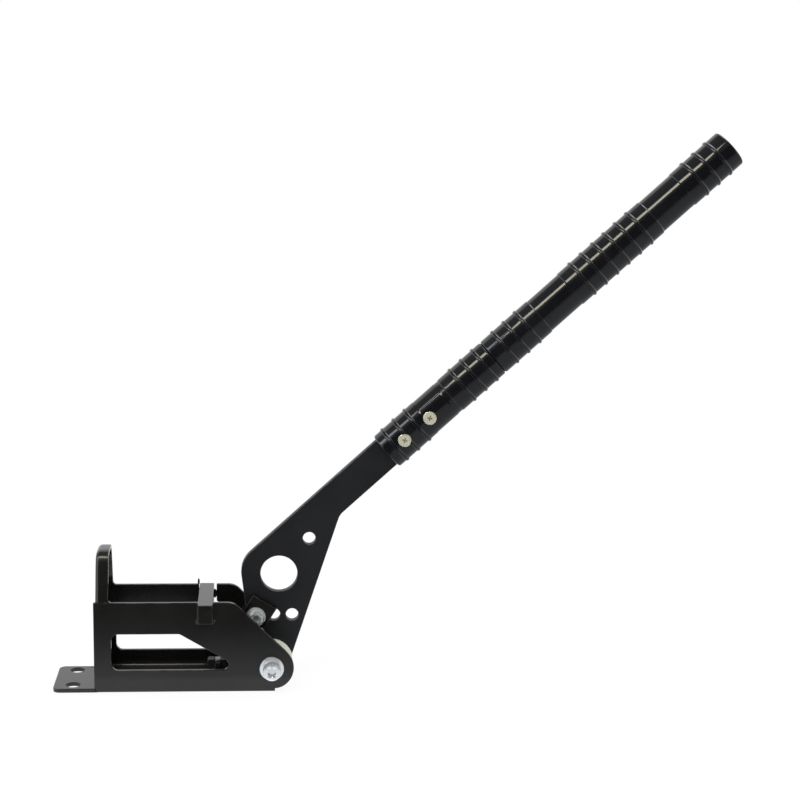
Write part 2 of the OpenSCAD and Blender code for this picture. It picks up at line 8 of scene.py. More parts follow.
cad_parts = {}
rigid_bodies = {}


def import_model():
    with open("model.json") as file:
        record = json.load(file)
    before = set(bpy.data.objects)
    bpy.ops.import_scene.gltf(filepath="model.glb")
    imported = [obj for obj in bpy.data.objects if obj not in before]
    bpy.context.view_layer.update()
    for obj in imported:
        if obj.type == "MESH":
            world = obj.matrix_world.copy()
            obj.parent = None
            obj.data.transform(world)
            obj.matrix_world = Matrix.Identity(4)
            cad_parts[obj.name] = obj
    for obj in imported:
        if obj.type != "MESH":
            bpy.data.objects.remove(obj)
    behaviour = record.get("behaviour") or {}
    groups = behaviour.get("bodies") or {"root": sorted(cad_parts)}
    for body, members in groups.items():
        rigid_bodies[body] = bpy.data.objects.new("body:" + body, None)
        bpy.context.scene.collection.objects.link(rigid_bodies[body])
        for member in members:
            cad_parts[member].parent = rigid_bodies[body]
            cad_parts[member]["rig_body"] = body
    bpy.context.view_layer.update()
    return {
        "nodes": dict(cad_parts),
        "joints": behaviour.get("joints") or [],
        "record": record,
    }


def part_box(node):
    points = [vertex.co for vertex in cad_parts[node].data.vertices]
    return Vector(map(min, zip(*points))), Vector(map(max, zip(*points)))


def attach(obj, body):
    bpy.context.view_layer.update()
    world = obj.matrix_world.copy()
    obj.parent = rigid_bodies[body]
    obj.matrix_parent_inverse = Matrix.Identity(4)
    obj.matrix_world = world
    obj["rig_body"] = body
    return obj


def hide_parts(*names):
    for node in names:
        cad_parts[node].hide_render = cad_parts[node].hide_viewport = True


# Looks of a hand brake lever: coats, broken edges, turned rings, screws, threads and welds on the CAD frame.
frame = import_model()
nodes = frame["nodes"]
slot_of = {part["node"]: part["material_slot"] for part in frame["record"]["subparts"]}
joint_at = {joint["name"]: Vector(joint["pos_m"]) for joint in frame["joints"]}

MM = 0.001

# Camera: the photograph's angle, from the front, a little above
CAMERA_PLACE = (-0.0138, -1.1950, 0.4262)
CAMERA_PITCH = 10.227
CAMERA_YAW = 2.861
CAMERA_ROLL = 0.541
CAMERA_LENS = 76.06
CAMERA_SENSOR = 36.0
CAMERA_SHIFT = 0.08
CAMERA_REACH = 50

# Handle: its lean, and its rings and steps, from the sleeve's lower end or from the handle's joint
HANDLE_ANGLE = 42.4
GRIP_R = 14.3 * MM
SMOOTH_R = 13.75 * MM
STEP_R = 14.02 * MM
END_ROUND = 1.5 * MM
ROUND_STEPS = 5
STEP_SOFT = 0.4 * MM
STEP_HOLD = 0.25 * MM
RING_H = 0.9 * MM
RING_W = 3.0 * MM
RING_SINK = 0.4 * MM
RING_STEPS = 10
RING_LEAN = 0.8
RING_FULLNESS = 0.75
RING_PITCH = 10.7 * MM
SLEEVE_LOW_RING = 8.0 * MM
SLEEVE_LOW_END = 37.4 * MM
SLEEVE_SMOOTH_END = 57.4 * MM
SLEEVE_NECK_END = 61.4 * MM
SLEEVE_HIGH_RING = 72.9 * MM
GRIP_LOW_RING = 11.5 * MM
GRIP_LOW_END = 44.4 * MM
GRIP_MIDDLE = 73.4 * MM
GRIP_MIDDLE_RING = 84.9 * MM
GRIP_UPPER_SMOOTH = 149.9 * MM
GRIP_LAST = 178.9 * MM
GRIP_LAST_RING = 190.4 * MM
SHORT_RINGS = 3
MIDDLE_RINGS = 6

# Fasteners: the handle's screws with their room and cross recess, bolts, nuts, spacers and the thread
SCREW_FIRST = 16.0 * MM
SCREW_GAP = 24.0 * MM
SCREW_COUNT = 2
SCREW_HEAD_R = 4.9 * MM
SCREW_R = 2.5 * MM
SCREW_LENGTH = 8.0 * MM
SCREW_CONE = 2.6 * MM
SCREW_RIM = 0.5 * MM
SCREW_EDGE_IN = 0.05 * MM
SCREW_EDGE_DOWN = 0.2 * MM
SCREW_TOP_ROUND = 0.35 * MM
SCREW_SINK = 0.7 * MM
SCREW_SEGMENTS = 64
SCREW_ROOM = 0.25 * MM
SCREW_ROOM_DEPTH = 3.0 * MM
SCREW_ROOM_STEP = 0.6 * MM
SCREW_ROOM_OUT = 4.0 * MM
SCREW_ROOM_SEGMENTS = 48
CROSS_ARM = 1.9 * MM
CROSS_SLOT = 0.5 * MM
CROSS_DEPTH = 2.2 * MM
CROSS_TURN = math.radians(35)
PIVOT_HEAD_R = 6.5 * MM
PIVOT_SOCKET = 6.0 * MM
PIVOT_R = 4.0 * MM
PIVOT_NUT_FLATS = 13.0 * MM
PIVOT_NUT_TURN = 12
YOKE_HEAD_R = 5.0 * MM
YOKE_SOCKET = 5.0 * MM
YOKE_R = 3.0 * MM
YOKE_NUT_FLATS = 9.75 * MM
YOKE_NUT_TURN = 20
REST_R = 4.0 * MM
REST_FLATS = 13.0 * MM
REST_NUT_TURN = 0
REST_TIP = 0.75 * MM
HEAD_SOFT = 0.3
SOCKET_LIP = 0.7 * MM
SOCKET_BEVEL = 0.35 * MM
SOCKET_DEPTH = 0.5
HEX_FACE = 0.95
HEX_SLOPE = math.radians(60)
HEX_STEPS = 6
SPACER_RIM = 1.0 * MM
SPACER_ROUND = 0.5 * MM
SPACER_T = 5.0 * MM
SPACER_NECK_R = 8.0 * MM
SPACER_BORE_R = 4.05 * MM
THREAD_PITCH = 1.25 * MM
THREAD_DEPTH = 0.45 * MM
THREAD_STEPS = 36
THREAD_SIDES = 4
CHAMFER = 0.5 * MM

# Bends between the floor of the base and its side plates, with their reach along the base
SHEET_T = 3.0 * MM
BEND_R = 5.0 * MM
BEND_STEPS = 10
BEND_SINK = 0.2 * MM
COVE_R = 6.0 * MM
COVE_REACH = (-123.6 * MM, 2.3 * MM)
CORNER_R = 1.2 * MM
CORNER_REACH = (-127.6 * MM, 2.3 * MM)

# Arch of the end wall, above its foot: straight length of the solid's legs, height and half width of the
# flat top, tightness of the bends, and the share of the reach inside which nothing moves
ARCH_STRETCH = 10.6 * MM
ARCH_HEIGHT = 34.8 * MM
ARCH_CORNER = 13.8 * MM
ARCH_BLEND = 10
ARCH_INSIDE = 0.8

# Beads of weld at the stop bar: centres and half sizes, in millimetres
TACK_CENTRE = (-41.9, 23.5, 59.5)
TACK_RADII = (1.5, 1.9, 3.4)
STUB_CENTRE = (-54.0, 24.2, 68.4)
STUB_RADII = (0.8, 0.9, 2.6)

# Stage: the floor, the sky, and the cards that only reflections see
FLOOR_REACH = 8
SKY_TINT = (0.94, 0.96, 1.0, 1)
SKY_STRENGTH = 0.80
WHITE = (1, 1, 1, 1)
CARD_TINT = (0.92, 0.94, 1.0, 1)
CARD_BACK = -2.6
CARD_TOP = 1.95
CARD_LIFT = 0.002
CARD_JOINT = 0.08

# Mesh work: rounds, merging, and the angles that tell a sharp edge from a soft one
SEGMENTS = 96
MERGE = 0.002 * MM
FLAT_ANGLE = math.radians(0.5)
SHARP_ANGLE = math.radians(28)
SMOOTH_ANGLE = math.radians(32)
FLAT_SHADE_ANGLE = math.radians(14)
ARCH_SHADE_ANGLE = math.radians(23)
TIGHT_ANGLE = math.radians(25)
SHORT_EDGE = 0.16 * MM

# Width of the broken edges of the CAD pieces that keep their shape, in millimetres
EDGE_BREAKS = {
    "base_channel": 0.45,
    "stop_bar": 0.5,
    "rest_stop_bracket": 0.3,
    "lever_plate": 0.4,
    "yoke": 0.4,
    "pivot_near_washer": 0.25,
    "pivot_far_washer": 0.25,
    "yoke_near_washer": 0.2,
    "yoke_far_washer": 0.2,
}
HOOP_BREAK = 0.45 * MM


class Wire:
    """One output of a shader tree. Arithmetic on wires adds Math nodes."""

    def __init__(self, finish, socket):
        self.finish = finish
        self.socket = socket

    def _math(self, operation, first, second):
        return self.finish.node("ShaderNodeMath", {"operation": operation}, {0: first, 1: second})

    def __add__(self, other):
        return self._math("ADD", self, other)

    def __sub__(self, other):
        return self._math("SUBTRACT", self, other)

    def __rsub__(self, other):
        return self._math("SUBTRACT", other, self)

    def __mul__(self, other):
        return self._math("MULTIPLY", self, other)

    __radd__ = __add__
    __rmul__ = __mul__


class Finish:
    """A shader tree that is written one node at a time."""

    def __init__(self, tree):
        self.tree = tree
        self.tree.nodes.clear()

    def node(self, kind, settings=None, inputs=None, output=0):
        """Adds a node: first its settings, then the values or links of its sockets."""
        made = self.tree.nodes.new(kind)
        for key, value in (settings or {}).items():
            setattr(made, key, value)
        for key, value in (inputs or {}).items():
            if isinstance(value, Wire):
                self.tree.links.new(value.socket, made.inputs[key])
            else:
                made.inputs[key].default_value = value
        return Wire(self, made.outputs[output]) if made.outputs else None

    def place(self, centre=(0, 0, 0), turn=(0, 0, 0), scale=(1, 1, 1)):
        """Object coordinates, centred, turned and stretched for a pattern."""
        coordinates = self.node("ShaderNodeTexCoord", output="Object")
        moved = self.node("ShaderNodeVectorMath", {"operation": "SUBTRACT"}, {0: coordinates, 1: centre})
        return self.node("ShaderNodeMapping", {}, {"Vector": moved, "Rotation": turn, "Scale": scale})

    def noise(self, vector, scale, detail=3.0, roughness=0.55):
        sockets = {"Vector": vector, "Scale": scale, "Detail": detail, "Roughness": roughness}
        return self.node("ShaderNodeTexNoise", {}, sockets)

    def band(self, value, low, high):
        """A mask that rises from 0 to 1 as value goes from low to high."""
        sockets = {"Value": value, "From Min": low, "From Max": high}
        return self.node("ShaderNodeMapRange", {"interpolation_type": "SMOOTHSTEP"}, sockets)

    def mix(self, share, first, second):
        return self.node("ShaderNodeMix", {"data_type": "RGBA"}, {0: share, 6: first, 7: second}, output=2)

    def bump(self, height, strength, distance):
        sockets = {"Height": height, "Strength": strength, "Distance": distance}
        return self.node("ShaderNodeBump", {}, sockets)

    def surface(self, **sockets):
        """Ends the tree in a Principled shader with the given sockets."""
        inputs = {key.replace("_", " "): value for key, value in sockets.items()}
        shader = self.node("ShaderNodeBsdfPrincipled", {}, inputs)
        self.node("ShaderNodeOutputMaterial", {}, {"Surface": shader})


def new_finish(name):
    """A new material, and its shader tree to write."""
    material = bpy.data.materials.new(name)
    material.use_nodes = True
    return material, Finish(material.node_tree)


def coat(name, deep, pale, worn_and_lit, roughness, grain, specular):
    """A sprayed coat: cloudy colour, fine grain, orange peel, and paler paint in patches along the broken
    edges, partly wear and partly a painted highlight.
    """
    material, finish = new_finish(name)
    place = finish.place()
    clouds = finish.noise(place, 22.0, 4.0)
    peel = finish.noise(place, 650.0, 2.0)
    speckle = finish.noise(place, 2600.0, 2.0, 0.6)
    edge = finish.node("ShaderNodeAttribute", {"attribute_name": "edge"}, output="Fac")
    # Paler paint on patches of the broken edges: partly wear, partly a painted highlight along the edges.
    rub_and_edge_sheen = edge * finish.band(finish.noise(place, 140.0, 4.0), 0.35, 0.62)
    dust = finish.band(finish.noise(place, 420.0, 5.0, 0.7), 0.66, 0.78)
    body = finish.mix(finish.band(clouds, 0.35, 0.65), deep, pale)
    painted = finish.mix(rub_and_edge_sheen * 0.8 + dust * 0.12, body, worn_and_lit)
    height = peel * 0.6 + speckle * 0.4
    finish.surface(
        Base_Color=painted,
        Roughness=roughness + clouds * 0.08 + speckle * 0.06 - rub_and_edge_sheen * 0.05,
        Specular_IOR_Level=specular,
        Normal=finish.bump(height, grain, 0.00004),
    )
    return material


def gloss_shell():
    """Deep gloss black of the turned handle, with faint smudges and turning marks along its axis."""
    material, finish = new_finish("gloss_black_shell")
    place = finish.place(turn=(0, math.radians(HANDLE_ANGLE - 90), 0))
    drawn_out = finish.node("ShaderNodeVectorMath", {"operation": "MULTIPLY"}, {0: place, 1: (40, 40, 5200)})
    marks = finish.noise(drawn_out, 1.0)
    smudge = finish.noise(place, 34.0, 5.0, 0.6)
    haze = finish.band(smudge, 0.45, 0.75)
    tint = finish.mix(haze, (0.0042, 0.0043, 0.0052, 1), (0.0075, 0.0076, 0.0085, 1))
    finish.surface(
        Base_Color=tint,
        Roughness=0.07 + haze * 0.05 + marks * 0.03,
        Specular_IOR_Level=0.5,
        Normal=finish.bump(marks, 0.02, 0.00002),
    )
    return material


def plated(name, bright, tinted, roughness, metallic):
    """Plated steel: a mottled bright coat with drawing marks and small stains."""
    material, finish = new_finish(name)
    place = finish.place()
    mottle = finish.noise(place, 260.0, 4.0)
    drawn = finish.noise(finish.place(scale=(1, 14, 1)), 900.0, 3.0)
    stain = finish.band(finish.noise(place, 95.0, 4.0), 0.52, 0.80)
    colour = finish.mix(stain * 0.5 + mottle * 0.2, bright, tinted)
    finish.surface(
        Base_Color=colour,
        Metallic=metallic,
        Roughness=roughness + mottle * 0.06 + stain * 0.05,
        Normal=finish.bump(drawn, 0.02, 0.00001),
    )
    return material


def turned_nylon():
    """Pale turned spacer: fine rings round the pivot and a little grey dust."""
    material, finish = new_finish("pale_turned_spacer")
    place = finish.place(centre=joint_at["lever_pivot"])
    settings = {"wave_type": "RINGS", "rings_direction": "Y"}
    rings = finish.node("ShaderNodeTexWave", settings, {"Vector": place, "Scale": 420.0, "Distortion": 0.6})
    dust = finish.band(finish.noise(place, 120.0, 4.0), 0.40, 0.75)
    colour = finish.mix(dust, (0.80, 0.82, 0.74, 1), (0.70, 0.72, 0.65, 1))
    finish.surface(
        Base_Color=colour,
        Roughness=0.42 + dust * 0.15,
        Specular_IOR_Level=0.4,
        Normal=finish.bump(rings, 0.12, 0.00004),
    )
    return material


def sintered_bronze():
    """Porous bronze of the pivot bush."""
    material, finish = new_finish("sintered_bronze")
    pores = finish.noise(finish.place(), 2400.0, 3.0, 0.6)
    open_pores = finish.band(pores, 0.55, 0.70)
    colour = finish.mix(open_pores, (0.50, 0.35, 0.16, 1), (0.20, 0.13, 0.06, 1))
    finish.surface(
        Base_Color=colour,
        Metallic=0.9,
        Roughness=0.38 + open_pores * 0.25,
        Normal=finish.bump(1 - open_pores, 0.25, 0.00005),
    )
    return material


finishes = {
    "base_steel": coat(
        "satin_black_base_coat",
        deep=(0.0055, 0.0054, 0.0048, 1),
        pale=(0.0085, 0.0083, 0.0074, 1),
        worn_and_lit=(0.060, 0.058, 0.052, 1),
        roughness=0.12,
        grain=0.20,
        specular=0.5,
    ),
    "lever_steel": coat(
        "matt_black_lever_coat",
        deep=(0.0076, 0.0080, 0.0098, 1),
        pale=(0.0105, 0.0110, 0.0132, 1),
        worn_and_lit=(0.075, 0.076, 0.082, 1),
        roughness=0.40,
        grain=0.45,
        specular=0.34,
    ),
    "handle_shell": gloss_shell(),
    "zinc_steel": plated(
        "bright_zinc_plate",
        bright=(0.92, 0.94, 0.95, 1),
        tinted=(0.74, 0.80, 0.81, 1),
        roughness=0.11,
        metallic=0.76,
    ),
    "screw_zinc": plated(
        "pale_yellow_plate",
        bright=(0.74, 0.72, 0.56, 1),
        tinted=(0.62, 0.60, 0.44, 1),
        roughness=0.34,
        metallic=0.55,
    ),
    "spacer_nylon": turned_nylon(),
    "bush_bronze": sintered_bronze(),
}


def new_piece(name, shape, smooth_angle=SMOOTH_ANGLE):
    """A mesh object from a bmesh, with soft shading between its sharp edges."""
    mesh = bpy.data.meshes.new(name)
    shape.to_mesh(mesh)
    shape.free()
    mesh.shade_smooth()
    mesh.set_sharp_from_angle(angle=smooth_angle)
    piece = bpy.data.objects.new(name, mesh)
    bpy.context.scene.collection.objects.link(piece)
    return piece


def fit(piece, body, slot, *replaced):
    """Gives a piece its finish, its body and the CAD nodes that it stands for."""
    piece.data.materials.clear()
    piece.data.materials.append(finishes[slot])
    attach(piece, body)
    if replaced:
        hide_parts(*replaced)


def fit_for(piece, node):
    """Fits a piece in the place of one CAD node."""
    fit(piece, nodes[node]["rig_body"], slot_of[node], node)


def is_tight(vertex, sharp):
    """True where a sharp tip or a very short edge leaves no room for a broken edge."""
    for corner in vertex.link_loops:
        both_sharp = corner.edge in sharp and corner.link_loop_prev.edge in sharp
        if both_sharp and corner.calc_angle() < TIGHT_ANGLE:
            return True
    return any(edge.calc_length() < SHORT_EDGE for edge in vertex.link_edges)


def has_room(edge, sharp):
    """True where a sharp edge can be broken at both of its ends."""
    return not any(is_tight(vertex, sharp) for vertex in edge.verts)


def dressed(node, width, reshape=None, smooth_angle=FLAT_SHADE_ANGLE):
    """A copy of a CAD node, reshaped point by point where asked, with its sharp edges broken."""
    shape = bmesh.new()
    shape.from_mesh(nodes[node].data)
    if reshape:
        for vertex in shape.verts:
            vertex.co = reshape(vertex.co)
    # Faces of the broken edges, which the coats paint paler: partly wear, partly a painted edge highlight.
    worn_and_lit = shape.faces.layers.float.new("edge")
    bmesh.ops.remove_doubles(shape, verts=shape.verts, dist=MERGE)
    bmesh.ops.dissolve_limit(shape, angle_limit=FLAT_ANGLE, verts=shape.verts, edges=shape.edges)
    sharp = {edge for edge in shape.edges if edge.is_manifold and edge.calc_face_angle() > SHARP_ANGLE}
    broken = bmesh.ops.bevel(
        shape,
        geom=[edge for edge in shape.edges if edge in sharp and has_room(edge, sharp)],
        offset=width,
        offset_type="OFFSET",
        segments=2,
        profile=0.5,
        affect="EDGES",
        clamp_overlap=False,
    )
    for face in broken["faces"]:
        face[worn_and_lit] = 1.0
    fit_for(new_piece(node + "_dressed", shape, smooth_angle), node)


# Half round arch of the solid: its half width, and the height of its foot
arch_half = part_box("end_hoop")[1].y
arch_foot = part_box("end_hoop")[1].z - arch_half - ARCH_STRETCH


def pressed_arch(place):
    """Moves a point of the solid's half round arch to the pressed arch, with leaning legs and a flat top."""
    rise = place.z - arch_foot
    if rise <= 0:
        return place
    angle = math.atan2(rise, abs(place.y))
    drop = ARCH_STRETCH * math.cos(angle)
    if rise * arch_half < ARCH_STRETCH * abs(place.y):
        round_reach = arch_half / math.cos(angle)
    else:
        round_reach = ARCH_STRETCH * math.sin(angle) + math.sqrt(arch_half ** 2 - drop ** 2)
    if math.hypot(place.y, rise) < ARCH_INSIDE * round_reach:
        return place
    lean = (arch_half - ARCH_CORNER) / ARCH_HEIGHT
    leg_share = (math.cos(angle) + lean * math.sin(angle)) / arch_half
    top_share = math.sin(angle) / ARCH_HEIGHT
    reach = (leg_share ** ARCH_BLEND + top_share ** ARCH_BLEND) ** (-1 / ARCH_BLEND)
    scale = reach / round_reach
    return Vector((place.x, place.y * scale, arch_foot + rise * scale))


def turned(name, section, segments=SEGMENTS, closed=False):
    """A piece turned about Z from a section of (radius, height); a radius may depend on the angle."""
    shape = bmesh.new()
    loops = []
    for radius, height in section:
        loop = []
        for step in range(segments):
            angle = math.tau * step / segments
            reach = radius(angle) if callable(radius) else radius
            loop.append(shape.verts.new((reach * math.cos(angle), reach * math.sin(angle), height)))
        loops.append(loop)
    pairs = list(zip(loops, loops[1:]))
    if closed:
        pairs.append((loops[-1], loops[0]))
    for low, high in pairs:
        for step in range(segments):
            after = (step + 1) % segments
            shape.faces.new((low[step], low[after], high[after], high[step]))
    if not closed:
        shape.faces.new(list(reversed(loops[0])))
        shape.faces.new(loops[-1])
    bmesh.ops.recalc_face_normals(shape, faces=shape.faces)
    return new_piece(name, shape)


def hexagon(flats, limit=math.inf):
    """Radius of a hexagon at an angle, no further out than limit."""
    sixth = math.tau / 6

    def radius(angle):
        off_flat = (angle + sixth / 2) % sixth - sixth / 2
        return min(limit, flats / 2 / math.cos(off_flat))

    return radius


def hex_side(flats, low, high):
    """Section of a hexagon's side whose corners are chamfered at both ends."""
    corner = flats / 2 / math.cos(math.pi / 6)
    face = flats / 2 * HEX_FACE
    drop = (corner - face) / math.tan(HEX_SLOPE)
    shares = [step / HEX_STEPS for step in range(HEX_STEPS + 1)]
    rise = [(hexagon(flats, face + (corner - face) * share), drop * share) for share in shares]
    lower = [(radius, low + up) for radius, up in rise]
    upper = [(radius, high - up) for radius, up in reversed(rise)]
    return lower + upper


def along(direction, place):
    """Matrix that lays a piece drawn along Z on a direction, at a place."""
    turn = Vector((0, 0, 1)).rotation_difference(Vector(direction))
    return Matrix.Translation(place) @ turn.to_matrix().to_4x4()


def new_tree(name, inputs):
    """A Geometry Nodes tree with named inputs, and the identifier of each input."""
    tree = bpy.data.node_groups.new(name, "GeometryNodeTree")
    sockets = {}
    for label, kind in inputs:
        socket = tree.interface.new_socket(label, in_out="INPUT", socket_type=kind)
        sockets[label] = socket.identifier
    tree.interface.new_socket("Geometry", in_out="OUTPUT", socket_type="NodeSocketGeometry")
    return tree, sockets


def close_tree(tree, given, shape, links):
    """Makes the links of a tree, and ends it with real copies that have their finish."""
    real = tree.nodes.new("GeometryNodeRealizeInstances")
    painted = tree.nodes.new("GeometryNodeSetMaterial")
    result = tree.nodes.new("NodeGroupOutput")
    for source, target in (
        *links,
        (shape, real.inputs["Geometry"]),
        (real.outputs["Geometry"], painted.inputs["Geometry"]),
        (given.outputs["Finish"], painted.inputs["Material"]),
        (painted.outputs["Geometry"], result.inputs["Geometry"]),
    ):
        tree.links.new(source, target)


def row_tree():
    """Geometry Nodes tree that sets copies of a piece in a row."""
    tree, sockets = new_tree("row_of_pieces", (
        ("Piece", "NodeSocketObject"),
        ("Count", "NodeSocketInt"),
        ("Start", "NodeSocketVector"),
        ("Pitch", "NodeSocketVector"),
        ("Finish", "NodeSocketMaterial"),
    ))
    given = tree.nodes.new("NodeGroupInput")
    line = tree.nodes.new("GeometryNodeMeshLine")
    line.mode = "OFFSET"
    info = tree.nodes.new("GeometryNodeObjectInfo")
    copies = tree.nodes.new("GeometryNodeInstanceOnPoints")
    close_tree(tree, given, copies.outputs["Instances"], (
        (given.outputs["Count"], line.inputs["Count"]),
        (given.outputs["Start"], line.inputs["Start Location"]),
        (given.outputs["Pitch"], line.inputs["Offset"]),
        (given.outputs["Piece"], info.inputs["Object"]),
        (line.outputs["Mesh"], copies.inputs["Points"]),
        (info.outputs["Geometry"], copies.inputs["Instance"]),
    ))
    return tree, sockets


def thread_tree():
    """Geometry Nodes tree of a screw thread: a helix with a four-sided section."""
    tree, sockets = new_tree("screw_thread", (
        ("Radius", "NodeSocketFloat"),
        ("Depth", "NodeSocketFloat"),
        ("Length", "NodeSocketFloat"),
        ("Turns", "NodeSocketFloat"),
        ("Finish", "NodeSocketMaterial"),
    ))
    given = tree.nodes.new("NodeGroupInput")
    helix = tree.nodes.new("GeometryNodeCurveSpiral")
    helix.inputs["Resolution"].default_value = THREAD_STEPS
    section = tree.nodes.new("GeometryNodeCurvePrimitiveCircle")
    section.inputs["Resolution"].default_value = THREAD_SIDES
    swept = tree.nodes.new("GeometryNodeCurveToMesh")
    swept.inputs["Fill Caps"].default_value = True
    close_tree(tree, given, swept.outputs["Mesh"], (
        (given.outputs["Radius"], helix.inputs["Start Radius"]),
        (given.outputs["Radius"], helix.inputs["End Radius"]),
        (given.outputs["Length"], helix.inputs["Height"]),
        (given.outputs["Turns"], helix.inputs["Rotations"]),
        (given.outputs["Depth"], section.inputs["Radius"]),
        (helix.outputs["Curve"], swept.inputs["Curve"]),
        (section.outputs["Curve"], swept.inputs["Profile Curve"]),
    ))
    return tree, sockets


ROW_TREE, ROW_SOCKETS = row_tree()
THREAD_TREE, THREAD_SOCKETS = thread_tree()


def grown(name, tree, sockets, values):
    """A plain mesh object of what a Geometry Nodes tree makes from the given values."""
    carrier = bpy.data.objects.new(name + "_carrier", bpy.data.meshes.new(name + "_carrier"))
    bpy.context.scene.collection.objects.link(carrier)
    modifier = carrier.modifiers.new("nodes", "NODES")
    modifier.node_group = tree
    for key, value in values.items():
        modifier[sockets[key]] = value
    return settled(carrier, name)


def settled(carrier, name):
    """Turns an object and its modifiers into a plain mesh object, and removes the first."""
    bpy.context.view_layer.update()
    ready = carrier.evaluated_get(bpy.context.evaluated_depsgraph_get())
    mesh = bpy.data.meshes.new_from_object(ready)
    bpy.data.objects.remove(carrier)
    mesh.name = name
    piece = bpy.data.objects.new(name, mesh)
    bpy.context.scene.collection.objects.link(piece)
    return piece


def joined(name, pieces):
    """One object from several, whose own objects are removed."""
    shape = bmesh.new()
    for piece in pieces:
        shape.from_mesh(piece.data)
        bpy.data.objects.remove(piece)
    return new_piece(name, shape)


def cut(piece, cutter, crossing=False):
    """The piece without the room that a cutter takes, whose own blades may be crossing."""
    modifier = piece.modifiers.new("room", "BOOLEAN")
    modifier.operation = "DIFFERENCE"
    modifier.solver = "EXACT"
    modifier.use_self = crossing
    modifier.object = cutter
    result = settled(piece, piece.name + "_cut")
    result.data.shade_smooth()
    result.data.set_sharp_from_angle(angle=SMOOTH_ANGLE)
    return result


# Handle frame: Z runs up the handle from the joint between sleeve and grip
stud_low, stud_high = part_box("handle_stud")
handle_joint = (stud_low + stud_high) / 2
handle_axis = Vector((math.cos(math.radians(HANDLE_ANGLE)), 0, math.sin(math.radians(HANDLE_ANGLE))))
handle_matrix = Matrix.Translation(handle_joint) @ Matrix.Rotation(math.radians(90 - HANDLE_ANGLE), 4, "Y")


def handle_reach(node):
    """Lowest and highest place of a node along the handle, from the handle's joint."""
    places = [(vertex.co - handle_joint).dot(handle_axis) for vertex in nodes[node].data.vertices]
    return min(places), max(places)


sleeve_low, sleeve_high = handle_reach("handle_sleeve")
grip_low, grip_high = handle_reach("handle_grip")


def round_end(radius, height, way, reach=END_ROUND):
    """Quarter round between the outside of a turned end and its face; way is 1 at an upper end, else -1."""
    quarter = [math.pi / 2 * i / ROUND_STEPS for i in range(ROUND_STEPS + 1)]
    points = []
    for angle in quarter:
        inward = reach * (1 - math.cos(angle))
        back = reach * (1 - math.sin(angle))
        points.append((radius - inward, height - way * back))
    return points if way > 0 else list(reversed(points))


def step_to(radius, other, height):
    """Short slope between two radii of a turned piece; its outer loops keep the shading beside it even."""
    return [
        (radius, height - STEP_SOFT - STEP_HOLD),
        (radius, height - STEP_SOFT),
        (other, height + STEP_SOFT),
        (other, height + STEP_SOFT + STEP_HOLD),
    ]


def ring_section():
    """Closed section of one raised ring: steep below, easy above, its foot sunk in the shell."""
    crown = []
    for step in range(RING_STEPS + 1):
        share = step / RING_STEPS
        swell = math.sin(math.pi * share ** RING_LEAN) ** RING_FULLNESS
        crown.append((GRIP_R + RING_H * swell, RING_W * (share - 0.5)))
    return [(GRIP_R - RING_SINK, -RING_W / 2), *crown, (GRIP_R - RING_SINK, RING_W / 2)]


def handle_rings(name, rows):
    """Rows of rings, each given by the place of its first ring and its count."""
    ring = turned("ring_pattern", ring_section(), closed=True)
    made = []
    for place, count in rows:
        values = {
            "Piece": ring,
            "Count": count,
            "Start": (0, 0, place),
            "Pitch": (0, 0, RING_PITCH),
            "Finish": finishes["handle_shell"],
        }
        made.append(grown(name, ROW_TREE, ROW_SOCKETS, values))
    bpy.data.objects.remove(ring)
    return joined(name, made)


def screw_matrix():
    """Lays a row of screws that is drawn along Z, spaced on Y, on the near side of the handle."""
    upright = Matrix.Rotation(math.radians(90), 4, "X")
    return Matrix.Translation((0, 0, sleeve_low + SCREW_FIRST)) @ upright


def screw_cutter():
    """Room for the two handle screws, in the handle's frame."""
    deep = GRIP_R - SCREW_SINK
    wall = SCREW_HEAD_R + SCREW_ROOM
    pattern = turned("screw_room_pattern", [
        (SCREW_R, deep - SCREW_ROOM_DEPTH),
        (wall, deep - SCREW_ROOM_STEP),
        (wall, GRIP_R + SCREW_ROOM_OUT),
    ], SCREW_ROOM_SEGMENTS)
    values = {"Piece": pattern, "Count": SCREW_COUNT, "Start": (0, 0, 0), "Pitch": (0, SCREW_GAP, 0)}
    rooms = grown("screw_room", ROW_TREE, ROW_SOCKETS, values)
    bpy.data.objects.remove(pattern)
    rooms.data.transform(screw_matrix())
    return rooms


